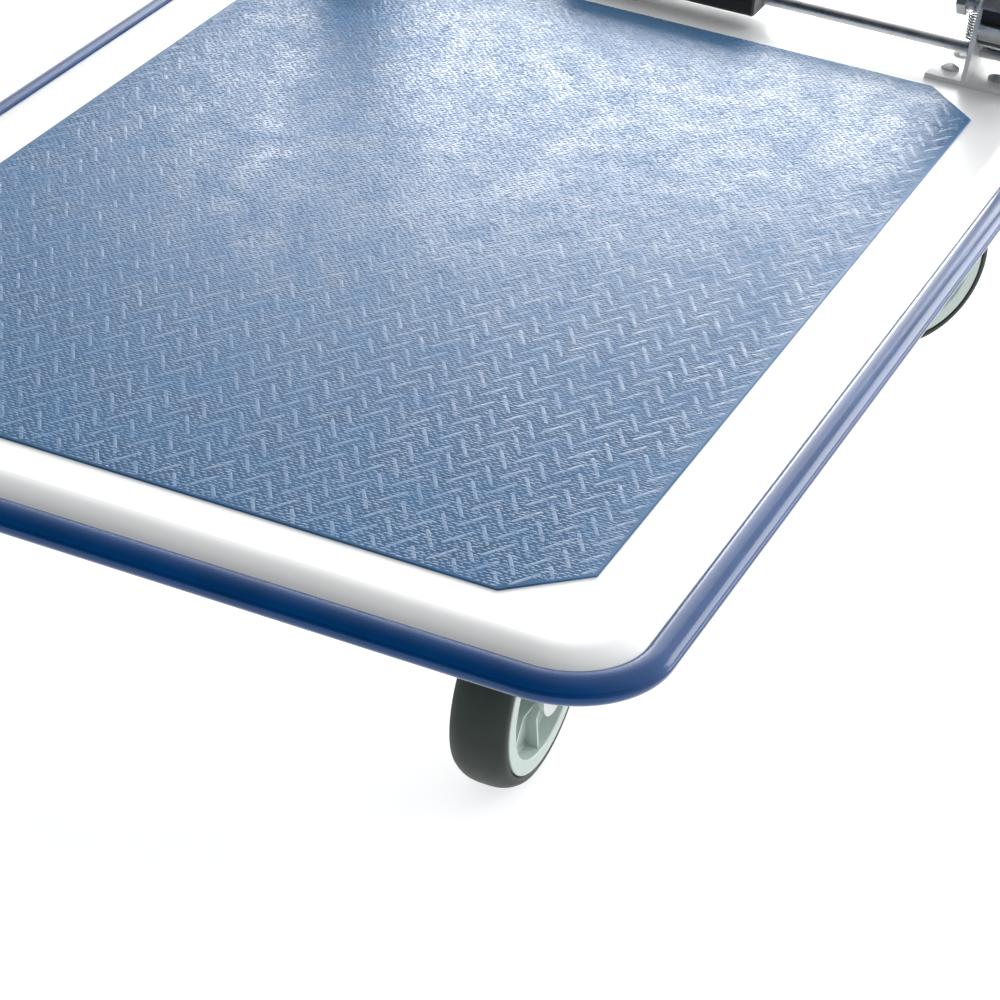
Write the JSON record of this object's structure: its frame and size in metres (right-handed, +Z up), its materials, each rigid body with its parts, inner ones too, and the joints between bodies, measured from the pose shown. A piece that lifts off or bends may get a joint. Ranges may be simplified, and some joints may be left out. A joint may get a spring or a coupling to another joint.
{
  "type": "folding platform cart",
  "caption": "Flat steel deck on two fixed and two swivel casters, with a soft bumper edge, an embossed mat and a tube handle that folds down over the deck.",
  "frame": {"origin": "on the floor, under the middle of the cart", "axes": "+X forward, away from the handle; +Y to the left of someone who pushes the cart; +Z up"},
  "size_m": [0.78, 0.525, 0.8546],
  "materials": {
    "deck_paint": "satin white powder coat",
    "mat_vinyl": "embossed vinyl, satin",
    "bumper_vinyl": "glossy deep blue vinyl",
    "tyre_rubber": "dark grey rubber",
    "wheel_plastic": "light grey moulded plastic",
    "zinc_steel": "bright zinc plate",
    "bearing_steel": "polished balls",
    "handle_paint": "deep blue powder coat",
    "grip_foam": "soft black foam",
    "black_plastic": "fine grain black",
    "pedal_rubber": "ribbed black rubber",
    "spring_steel": "plain spring wire"
  },
  "bodies": {
    "deck": {"deck_pan": "deck_paint", "deck_mat": "mat_vinyl", "bumper": "bumper_vinyl", "bumper_seam_clip": "bumper_vinyl", "front_channel": "deck_paint", "rear_channel": "deck_paint", "centre_rib": "deck_paint", "caster_bolts": "zinc_steel", "caster_nuts": "zinc_steel", "front_left_fork": "zinc_steel", "front_right_fork": "zinc_steel", "front_axle_bolts": "zinc_steel", "front_axle_nuts": "zinc_steel", "front_axle_bushes": "zinc_steel", "left_hinge_bracket": "deck_paint", "right_hinge_bracket": "deck_paint", "hinge_bolts": "zinc_steel", "hinge_nuts": "zinc_steel", "stop_pins": "zinc_steel", "bracket_bolts": "zinc_steel", "bracket_nuts": "zinc_steel", "release_springs": "spring_steel", "rear_left_top_plate": "zinc_steel", "rear_left_balls": "bearing_steel", "rear_left_kingpin": "zinc_steel", "rear_right_top_plate": "zinc_steel", "rear_right_balls": "bearing_steel", "rear_right_kingpin": "zinc_steel"},
    "handle": {"handle_tube": "handle_paint", "handle_grip": "grip_foam", "left_knuckle": "black_plastic", "right_knuckle": "black_plastic", "left_catch_lugs": "zinc_steel", "right_catch_lugs": "zinc_steel", "knuckle_rivets": "zinc_steel"},
    "foot_release": {"release_bar": "zinc_steel", "pedal": "pedal_rubber", "bar_clips": "spring_steel"},
    "rear_left_caster": {"rear_left_yoke": "zinc_steel", "rear_left_lower_cup": "zinc_steel", "rear_left_axle_bolt": "zinc_steel", "rear_left_axle_nut": "zinc_steel", "rear_left_bush": "zinc_steel"},
    "rear_left_wheel": {"rear_left_core": "wheel_plastic", "rear_left_tyre": "tyre_rubber"},
    "front_left_wheel": {"front_left_core": "wheel_plastic", "front_left_tyre": "tyre_rubber"},
    "rear_right_caster": {"rear_right_yoke": "zinc_steel", "rear_right_lower_cup": "zinc_steel", "rear_right_axle_bolt": "zinc_steel", "rear_right_axle_nut": "zinc_steel", "rear_right_bush": "zinc_steel"},
    "rear_right_wheel": {"rear_right_core": "wheel_plastic", "rear_right_tyre": "tyre_rubber"},
    "front_right_wheel": {"front_right_core": "wheel_plastic", "front_right_tyre": "tyre_rubber"}
  },
  "joints": [
    {"name": "handle_fold", "type": "hinge", "parent": "deck", "child": "handle", "pos_m": [-0.3325, 0, 0.199], "axis": [0, 1, 0], "range_deg": [0, 93]},
    {"name": "foot_release_lift", "type": "slide", "parent": "deck", "child": "foot_release", "axis": [0, 0, 1], "range_m": [0, 0.006], "deforming": ["release_springs"]},
    {"name": "front_left_wheel_spin", "type": "hinge", "parent": "deck", "child": "front_left_wheel", "pos_m": [0.2475, 0.1605, 0.054], "axis": [0, 1, 0], "continuous": true},
    {"name": "rear_left_swivel", "type": "hinge", "parent": "deck", "child": "rear_left_caster", "pos_m": [-0.2475, 0.1605, 0.054], "axis": [0, 0, 1], "continuous": true},
    {"name": "rear_left_wheel_spin", "type": "hinge", "parent": "rear_left_caster", "child": "rear_left_wheel", "pos_m": [-0.27757, 0.18374, 0.054], "axis": [0.6115, 0.7912, 0], "continuous": true},
    {"name": "front_right_wheel_spin", "type": "hinge", "parent": "deck", "child": "front_right_wheel", "pos_m": [0.2475, -0.1605, 0.054], "axis": [0, 1, 0], "continuous": true},
    {"name": "rear_right_swivel", "type": "hinge", "parent": "deck", "child": "rear_right_caster", "pos_m": [-0.2475, -0.1605, 0.054], "axis": [0, 0, 1], "continuous": true},
    {"name": "rear_right_wheel_spin", "type": "hinge", "parent": "rear_right_caster", "child": "rear_right_wheel", "pos_m": [-0.27757, -0.13726, 0.054], "axis": [0.6115, 0.7912, 0], "continuous": true}
  ]
}
